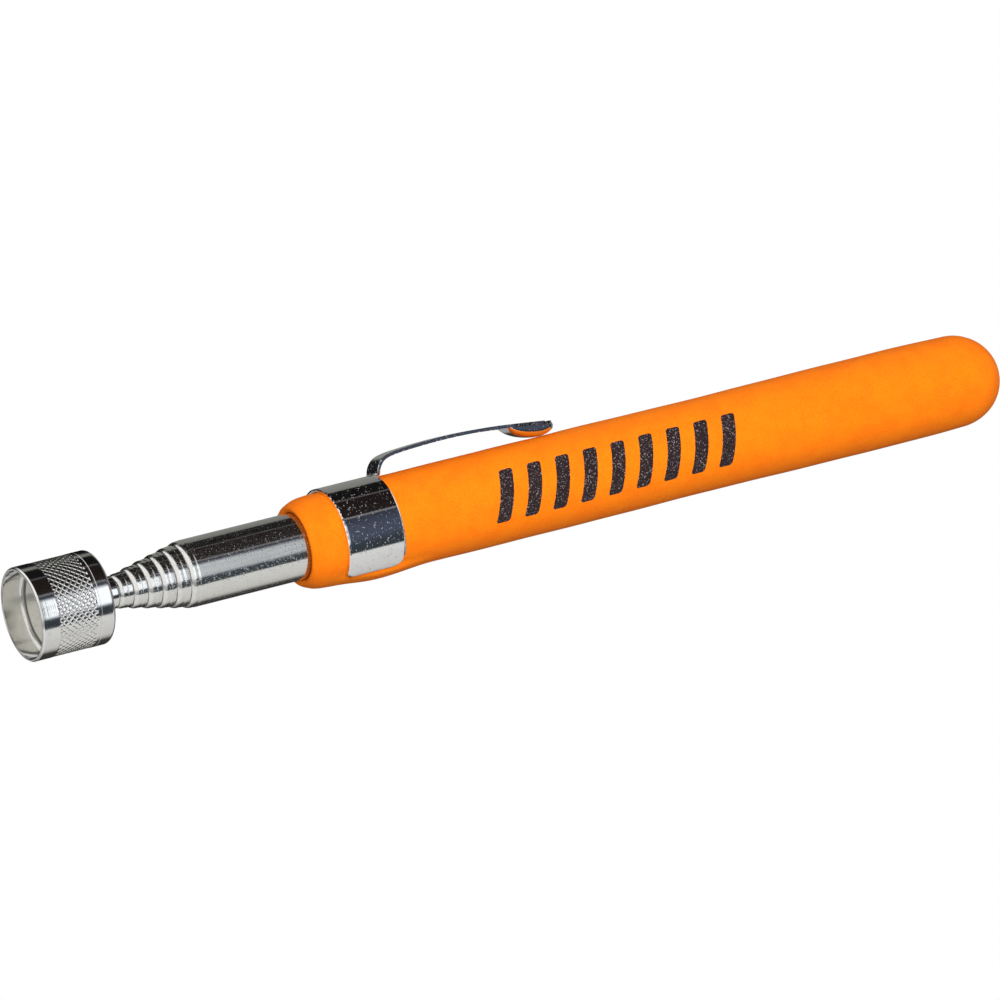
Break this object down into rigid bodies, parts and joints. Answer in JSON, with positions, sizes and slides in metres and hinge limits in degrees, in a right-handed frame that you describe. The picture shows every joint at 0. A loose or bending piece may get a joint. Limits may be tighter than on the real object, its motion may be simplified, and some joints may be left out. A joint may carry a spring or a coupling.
{
  "type": "telescoping magnetic pick-up tool",
  "caption": "Pocket telescoping magnetic pick-up tool: a magnet set in a knurled steel cup on nested polished tubes, with a closed foam grip and a spring pocket clip.",
  "frame": {"origin": "on the tool's axis, at the centre of the magnet cup's mouth", "axes": "+X runs along the tool's axis from the cup's mouth to the closed end of the grip, +Z points from the axis to the pocket clip, and the tool is symmetric about the XZ plane"},
  "size_m": [0.165, 0.015, 0.0181],
  "materials": {
    "polished_tube": "polished nickel-chrome plate on steel",
    "clip_chrome": "polished chrome plate on spring steel",
    "turned_steel": "turned and knurled steel, bright nickel plate",
    "magnet_nickel": "satin nickel plate",
    "spring_bronze": "rolled spring bronze",
    "foam_orange": "matte closed-cell foam with a printed mark",
    "plug_black": "moulded, matte",
    "spacer_plastic": "moulded, matte",
    "adhesive_clear": "cured epoxy"
  },
  "bodies": {
    "handle": {"outer_tube": "polished_tube", "end_plug": "plug_black", "grip_sleeve": "foam_orange", "clip_band": "clip_chrome"},
    "section_2": {"tube_2": "polished_tube", "friction_sleeve_2": "spring_bronze"},
    "section_3": {"tube_3": "polished_tube", "friction_sleeve_3": "spring_bronze"},
    "section_4": {"tube_4": "polished_tube", "friction_sleeve_4": "spring_bronze"},
    "section_5": {"tube_5": "polished_tube", "friction_sleeve_5": "spring_bronze"},
    "section_6": {"tube_6": "polished_tube", "friction_sleeve_6": "spring_bronze"},
    "rod_bush": {"friction_sleeve_7": "spring_bronze"},
    "tip": {"rod": "polished_tube", "tip_collar": "turned_steel", "head_cup": "turned_steel", "disc_magnet": "magnet_nickel", "magnet_spacer": "spacer_plastic", "magnet_adhesive": "adhesive_clear"},
    "clip": {"clip_blade": "clip_chrome"}
  },
  "joints": [
    {"name": "section_2_slide", "type": "slide", "parent": "handle", "child": "section_2", "axis": [-1, 0, 0], "range_m": [0, 0.112]},
    {"name": "section_3_slide", "type": "slide", "parent": "section_2", "child": "section_3", "axis": [-1, 0, 0], "range_m": [0, 0.112]},
    {"name": "section_4_slide", "type": "slide", "parent": "section_3", "child": "section_4", "axis": [-1, 0, 0], "range_m": [0, 0.112]},
    {"name": "section_5_slide", "type": "slide", "parent": "section_4", "child": "section_5", "axis": [-1, 0, 0], "range_m": [0, 0.112]},
    {"name": "section_6_slide", "type": "slide", "parent": "section_5", "child": "section_6", "axis": [-1, 0, 0], "range_m": [0, 0.112]},
    {"name": "rod_bush_slide", "type": "slide", "parent": "section_6", "child": "rod_bush", "axis": [-1, 0, 0], "range_m": [0, 0.112]},
    {"name": "head_spin", "type": "hinge", "parent": "rod_bush", "child": "tip", "pos_m": [0, 0, 0], "axis": [1, 0, 0], "continuous": true},
    {"name": "clip_flex", "type": "hinge", "parent": "handle", "child": "clip", "pos_m": [0.05954, 0, 0.00796], "axis": [0, -1, 0], "range_deg": [0, 6], "stiffness_Nm_per_rad": 1.5}
  ]
}
